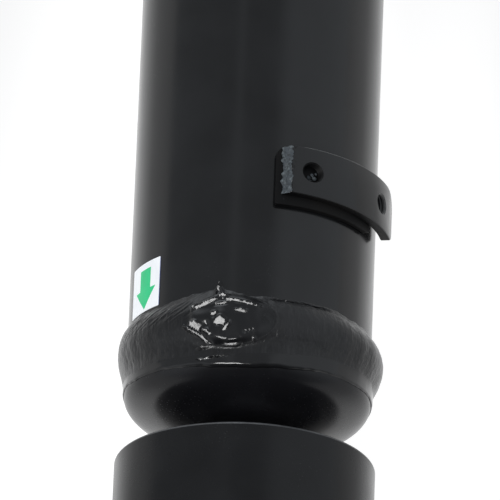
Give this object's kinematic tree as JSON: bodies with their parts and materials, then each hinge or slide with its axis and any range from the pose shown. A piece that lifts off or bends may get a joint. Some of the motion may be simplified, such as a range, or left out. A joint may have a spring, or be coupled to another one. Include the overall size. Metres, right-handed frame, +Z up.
{
  "type": "telescopic hydraulic cylinder",
  "caption": "Telescopic hydraulic ram, closed: a painted barrel with a dished base and weld bead, chromed stages sliding out of its head, and a ball cup at each end.",
  "frame": {"origin": "centre of the base cup's flat mounting face, on the cylinder's axis", "axes": "+Y along the cylinder from the base cup to the top cup, +Z up with the cylinder lying down, +X to the side that the clamp bracket wraps round"},
  "size_m": [0.14, 0.832, 0.14],
  "materials": {
    "black_paint": "semi-gloss black spray enamel on steel",
    "bead_paint": "the same black paint over a ground weld bead",
    "stage_chrome": "hard chrome, ground and polished",
    "bright_steel": "turned steel",
    "bearing_bronze": "machined bearing bronze",
    "seal_rubber": "moulded nitrile rubber",
    "guide_nylon": "machined guide strip",
    "label_white": "printed label film, white with a green arrow",
    "zinc_fitting": "zinc plated steel"
  },
  "bodies": {
    "barrel": {"barrel_tube": "black_paint", "base_end_cap": "black_paint", "base_ball_pin": "bright_steel", "base_weld_bead": "bead_paint", "clamp_bracket": "black_paint", "bracket_spacer": "black_paint", "arrow_label": "label_white", "inlet_port_boss": "black_paint", "inlet_port_plug": "zinc_fitting", "barrel_head": "black_paint", "barrel_lock_screw": "zinc_fitting", "barrel_guide_ring": "guide_nylon", "barrel_seal": "seal_rubber", "barrel_wiper": "seal_rubber"},
    "base_liner": {"base_ball_liner": "bearing_bronze"},
    "base_cup": {"base_cup": "black_paint", "base_keeper_ring": "black_paint", "base_snap_ring": "black_paint", "base_grease_nipple": "zinc_fitting"},
    "stage_1": {"stage_1_tube": "stage_chrome", "stage_1_bearing": "bearing_bronze", "stage_1_stop_ring": "bright_steel", "stage_1_head": "black_paint", "stage_1_lock_screw": "zinc_fitting", "stage_1_guide_ring": "guide_nylon", "stage_1_seal": "seal_rubber", "stage_1_wiper": "seal_rubber"},
    "stage_2": {"stage_2_tube": "stage_chrome", "stage_2_bearing": "bearing_bronze", "stage_2_stop_ring": "bright_steel", "stage_2_head": "black_paint", "stage_2_lock_screw": "zinc_fitting", "stage_2_guide_ring": "guide_nylon", "stage_2_seal": "seal_rubber", "stage_2_wiper": "seal_rubber"},
    "plunger": {"plunger_tube": "stage_chrome", "plunger_bearing": "bearing_bronze", "plunger_stop_ring": "bright_steel", "plunger_end_cap": "bright_steel", "bleed_screw": "zinc_fitting"},
    "top_liner": {"top_ball_liner": "bearing_bronze"},
    "top_cup": {"top_cup": "black_paint", "top_keeper_ring": "black_paint", "top_snap_ring": "black_paint", "top_grease_nipple": "zinc_fitting"}
  },
  "joints": [
    {"name": "base_liner_tilt", "type": "hinge", "parent": "barrel", "child": "base_liner", "pos_m": [0, 0.038, 0], "axis": [1, 0, 0], "range_deg": [-8, 8]},
    {"name": "base_cup_tilt", "type": "hinge", "parent": "base_liner", "child": "base_cup", "pos_m": [0, 0.038, 0], "axis": [0, 0, 1], "range_deg": [-8, 8]},
    {"name": "stage_1_slide", "type": "slide", "parent": "barrel", "child": "stage_1", "axis": [0, 1, 0], "range_m": [0, 0.43]},
    {"name": "stage_2_slide", "type": "slide", "parent": "stage_1", "child": "stage_2", "axis": [0, 1, 0], "range_m": [0, 0.455]},
    {"name": "plunger_slide", "type": "slide", "parent": "stage_2", "child": "plunger", "axis": [0, 1, 0], "range_m": [0, 0.472]},
    {"name": "top_liner_tilt", "type": "hinge", "parent": "plunger", "child": "top_liner", "pos_m": [0, 0.798, 0], "axis": [1, 0, 0], "range_deg": [-8, 8]},
    {"name": "top_cup_tilt", "type": "hinge", "parent": "top_liner", "child": "top_cup", "pos_m": [0, 0.798, 0], "axis": [0, 0, 1], "range_deg": [-8, 8]}
  ]
}
